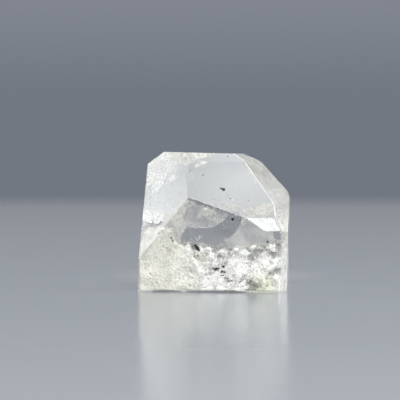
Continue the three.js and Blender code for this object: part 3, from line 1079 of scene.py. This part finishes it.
def crack_sheet(name, rim, material, seed, wave=0.12):
    """A closed, very thin lens inside a rim of points, with waves as high as given in mm."""
    half_thick = 0.02
    rings = 12
    count = len(rim)
    middle = rim.mean(axis=0)
    normal = np.linalg.svd(rim - middle)[2][2]
    outward = np.arange(1, rings + 1)[:, None, None] / rings
    layer = (middle + (rim - middle) * outward).reshape(-1, 3)
    layer = np.concatenate([middle[None], layer])
    share = np.concatenate([[0], np.repeat(np.arange(1, rings + 1) / rings, count)])
    swell = wave * noise_at(layer, 0.4, seed) * (1 - share ** 2) * MM
    gap = half_thick * np.sqrt(1 - share ** 2) * MM
    upper = layer + normal * (swell + gap)[:, None]
    lower = layer + normal * (swell - gap)[:, None]
    inner = len(layer) - count
    vertices = np.concatenate([upper, lower[:inner]])
    below = np.arange(len(layer))
    below[:inner] += len(layer)
    here = np.arange(count)
    following = (here + 1) % count
    top = [np.stack([np.zeros(count, int), 1 + here, 1 + following], 1)]
    for ring in range(rings - 1):
        a = 1 + ring * count + here
        b = 1 + ring * count + following
        top += [np.stack([a, a + count, b + count], 1), np.stack([a, b + count, b], 1)]
    top = np.concatenate(top)
    faces = np.concatenate([top, below[top][:, ::-1]])
    piece = new_piece(name, vertices, faces, material, "cleavage")
    piece.data.shade_smooth()
    piece.visible_shadow = False
    return piece


def ragged_line(rng, points, count, size):
    """Small flakes along a line of points."""
    where = rng.uniform(0, len(points) - 1.001, count)
    start = where.astype(int)
    share = (where - start)[:, None]
    places = points[start] * (1 - share) + points[start + 1] * share
    places = places + rng.normal(0, 0.035 * MM, (count, 3))
    patchy = noise_at(places, 0.7, 41) > rng.uniform(-0.9, 0.6, count)
    sizes = rng.lognormal(math.log(size), 0.3, count).clip(0.02, 0.1) * MM
    return grains(rng, places[patchy], sizes[patchy], rng.uniform(0.3, 0.8, patchy.sum()))


def cracks(film_material, white_material, smoky_material, dim_shade_material, line_material):
    """The thin healed cracks, a faint dark film of painted shade in the clear window, and the bright
    lines along the edges of two of them.
    """
    rng = np.random.default_rng(31)
    lines = []
    for seed, (name, (corners, depth, bright)) in enumerate(WINDOW_CRACKS.items()):
        rim = rim_under(FRONT, corners, depth)
        rim += 0.06 * MM * rng.normal(size=rim.shape)
        crack_sheet(name, rim, film_material, 50 + seed)
        steps = len(rim) // len(corners)
        lines.append(ragged_line(rng, rim[bright[0] * steps:bright[1] * steps + 1], 800, 0.055))
    crack_sheet("corner_crack", rim_under(FRONT_PYRAMID, CORNER_CRACK, 0.4), smoky_material, 53)
    # Painted shade: a faint dark film that darkens the middle of the clear window.
    crack_sheet("dim_shade_film", rim_under(FRONT, DIM_SHADE_FILM, 1.2), dim_shade_material, 54)
    ring = smooth_ring(BASAL_CRACK)
    level = np.full(len(ring), BASAL_CRACK_UP * HEIGHT)
    rim = np.stack([LOW.x + ring[:, 0] * WIDTH, LOW.y + ring[:, 1] * DEPTH, level], 1)
    rim += 0.15 * MM * rng.normal(size=rim.shape)
    crack_sheet("basal_crack", rim, white_material, 60, wave=0.5).visible_shadow = True
    new_piece("crack_edges", *joined(lines), line_material, "cleavage")


def mineral_specks(name, specks, material, seed):
    """A few mineral grains, each in its place."""
    rng = np.random.default_rng(seed)
    shapes = leaning_shapes(rng, ICOSAHEDRON, ICOSAHEDRON_FACES, *specks_in_place(specks))
    new_piece(name, *shapes, material, "mineral_specks")


def pinpricks(material):
    """Tiny dark grains scattered through the front of the sugary zone and under the dome."""
    usual_size = 0.055
    rng = np.random.default_rng(8)
    places = []
    for face, across, up, count in PINPRICKS:
        places.append(seen_under(face, rng.uniform(*across, count), rng.uniform(*up, count), 0))
    places = np.concatenate(places)
    sizes = rng.lognormal(math.log(usual_size), 0.3, len(places)).clip(0.03, 0.11) * MM
    places[:, 1] += 0.1 * MM + 1.6 * sizes
    keep = depth_inside(places) > THIN_SKIN
    shapes = grains(rng, places[keep], sizes[keep], rng.uniform(0.4, 0.9, keep.sum()))
    new_piece("pinpricks", *shapes, material, "mineral_specks")


def sugar_fibres(material):
    """Thin bright fibres that lean across the left of the sugary zone."""
    count = 1500
    rng = np.random.default_rng(9)
    across = rng.uniform(0.08, 0.40, count)
    up = rng.uniform(0.015, 0.31, count)
    places = seen_under(FRONT, across, up, rng.uniform(0.12, 0.3, count) * MM)
    halves = np.stack([rng.uniform(0.12, 0.4, count), rng.uniform(0.015, 0.03, count)], 1)
    halves = np.concatenate([halves, halves[:, 1:]], 1) * MM
    leans = -75 + 90 * across + rng.normal(0, 9, count)
    patchy = noise_at(places, 0.5, 61) > rng.uniform(-0.8, 0.5, count)
    patchy &= depth_inside(places) > 0.05 * MM
    shapes = leaning_shapes(
        rng, TETRAHEDRON, TETRAHEDRON_FACES, places[patchy], halves[patchy], leans[patchy],
    )
    new_piece("sugar_fibres", *shapes, material, "frosted_topaz").visible_shadow = False


# ---- stage --------------------------------------------------------------------------

FLOOR_DARK = (0.246, 0.264, 0.284, 1)
FLOOR_LIGHT = (0.25, 0.268, 0.288, 1)


def grey_floor():
    """A plain polished grey floor, a hair below the crystal, that fades into the surroundings at
    its far end."""
    half = 0.54
    below = 0.02 * MM
    mesh = bpy.data.meshes.new("floor")
    corners = [(-half, -half, 0), (half, -half, 0), (half, half, 0), (-half, half, 0)]
    mesh.from_pydata(corners, [], [(0, 1, 2, 3)])
    floor = link(bpy.data.objects.new("floor", mesh))
    floor.location.z = -below
    material, tree = new_material("floor", Roughness=0.19)
    cloud = place_group(tree, CLOUD, Clouds_per_mm=0.02)
    backward = parts_of(tree, place_on(tree))["Y"]
    fade = map_range(tree, backward, 0.68 * half, half, 1.0, 0.0)
    shade(tree, Base_Color=blend(tree, cloud["Cloud"], FLOOR_DARK, FLOOR_LIGHT), Alpha=fade)
    mesh.materials.append(material)


# The soft surroundings, from the horizon up: the sine of the height angle, and the light there.
SKY = [
    (0.0, (0.169, 0.187, 0.222, 1)),
    (0.035, (0.17, 0.19, 0.223, 1)),
    (0.09, (0.222, 0.24, 0.288, 1)),
    (0.12, (0.256, 0.277, 0.318, 1)),
    (0.17, (0.44, 0.46, 0.49, 1)),
    (0.25, (0.6, 0.615, 0.635, 1)),
    (0.5, (0.74, 0.75, 0.765, 1)),
    (1.0, (0.58, 0.59, 0.6, 1)),
]


def studio_world():
    """Soft light from all round, by height above the horizon only."""
    world = bpy.data.worlds.new("studio")
    bpy.context.scene.world = world
    world.use_nodes = True
    tree = world.node_tree
    direction = add(tree, "ShaderNodeTexCoord").outputs["Generated"]
    ramp = add(tree, "ShaderNodeValToRGB", in_0=parts_of(tree, direction)["Z"])
    set_inputs(tree, tree.nodes["Background"], Color=ramp.outputs[0])
    low, high = ramp.color_ramp.elements
    low.position = SKY[0][0]
    low.color = SKY[0][1]
    high.position = SKY[-1][0]
    high.color = SKY[-1][1]
    for height, colour in SKY[1:-1]:
        ramp.color_ramp.elements.new(height).color = colour


def place_and_aim(ob, place, target):
    """Puts a lamp or a camera at a place, looking at a target."""
    ob.location = place
    ob.rotation_euler = (Vector(target) - Vector(place)).to_track_quat("-Z", "Y").to_euler()


def softbox(name, place, side, power):
    """A square soft lamp aimed at the lower half of the crystal."""
    light = bpy.data.lights.new(name, "AREA")
    light.shape = "RECTANGLE"
    light.size = side
    light.size_y = side
    light.energy = power
    ob = link(bpy.data.objects.new(name, light))
    place_and_aim(ob, place, (0, 0, 0.01))
    ob.visible_camera = False
    return ob


def spot_light(name, place, target, cone, power, colour):
    """A narrow soft-edged lamp."""
    light = bpy.data.lights.new(name, "SPOT")
    light.color = colour
    light.spot_size = math.radians(cone)
    light.spot_blend = 0.7
    light.shadow_soft_size = 0.01
    light.energy = power
    place_and_aim(link(bpy.data.objects.new(name, light)), place, target)


def reflected_card(name, place, side, power):
    """A square pale card that only shows as a reflection in glossy faces."""
    card = softbox(name, place, side, power)
    card.visible_diffuse = False
    card.visible_transmission = False


def camera():
    """The camera, a long lens at the viewpoint, aimed a little left of the crystal's middle."""
    data = bpy.data.cameras.new("camera")
    data.lens = 150
    data.sensor_width = 36
    data.clip_start = 0.01
    ob = link(bpy.data.objects.new("camera", data))
    place_and_aim(ob, VIEWPOINT, VIEW_AIM)
    bpy.context.scene.camera = ob


# The square lamps: where each one stands and its side, in metres, and its power in watts.
SOFTBOXES = {
    "overhead_softbox": ((0.036, 0.11, 0.45), 0.27, 0.2),
    "left_softbox": ((-0.312, 0.144, 0.21), 0.17, 0.2),
    "front_fill": ((0.1, -0.35, 0.35), 0.34, 2.2),
    "right_softbox": ((0.34, -0.11, 0.24), 0.24, 0.65),
}

camera()
grey_floor()
studio_world()
for name, (place, side, power) in SOFTBOXES.items():
    softbox(name, place, side, power)
reflected_card("right_card", (0.153, 0.157, 0.03), 0.06, 0.02)
# It lights the floor behind the crystal, which shows through the clear faces.
spot_light("back_spot", (0.0, 0.028, 0.35), (0, 0.028, 0), 4.6, 5.4, (1, 0.96, 0.9))
bpy.context.scene.view_settings.view_transform = "Standard"
# Light crosses many clear faces and flakes on its way to what is sealed inside.
bpy.context.scene.cycles.sampling_pattern = "TABULATED_SOBOL"
bpy.context.scene.cycles.max_bounces = 24
bpy.context.scene.cycles.transmission_bounces = 24

crystal_body(clear_topaz(), frosted_topaz(), worn_topaz())
sugary = sugary_topaz()
core = sugar_core(sugary)
# The flakes of the coat cast the sugary zone's shadow on the floor, softer than the core would.
core.visible_shadow = False
milky = milky_topaz("milky topaz", (0.6, 0.63, 0.65, 1), (0.95, 0.97, 0.975, 1))
creamy = milky_topaz("creamy topaz", (0.56, 0.56, 0.52, 1), (0.97, 0.96, 0.92, 1))
sugar_flakes(core, (sugary, sugary, milky))
apron(sugary)
veils(milky, creamy)
cracks(
    film("healed crack", (0.9, 0.88, 0.81, 1), 0.03, 0.18),
    film("open crack", (0.9, 0.92, 0.92, 1), 0.4, 0.9),
    film("smoky crack", (0.2, 0.21, 0.21, 1), 0.2, 0.6),
    # Painted shade: a nearly black, faint film that darkens the middle of the clear window.
    film("dim shade film", (0.1, 0.105, 0.11, 1), 0.05, 0.13),
    milky,
)
sugar_fibres(milky)
dark = dark_mineral()
mineral_specks("dark_specks", DARK_SPECKS, dark, 5)
pinpricks(dark)
mineral_specks("rusty_specks", RUSTY_SPECKS, rusty_mineral(), 6)
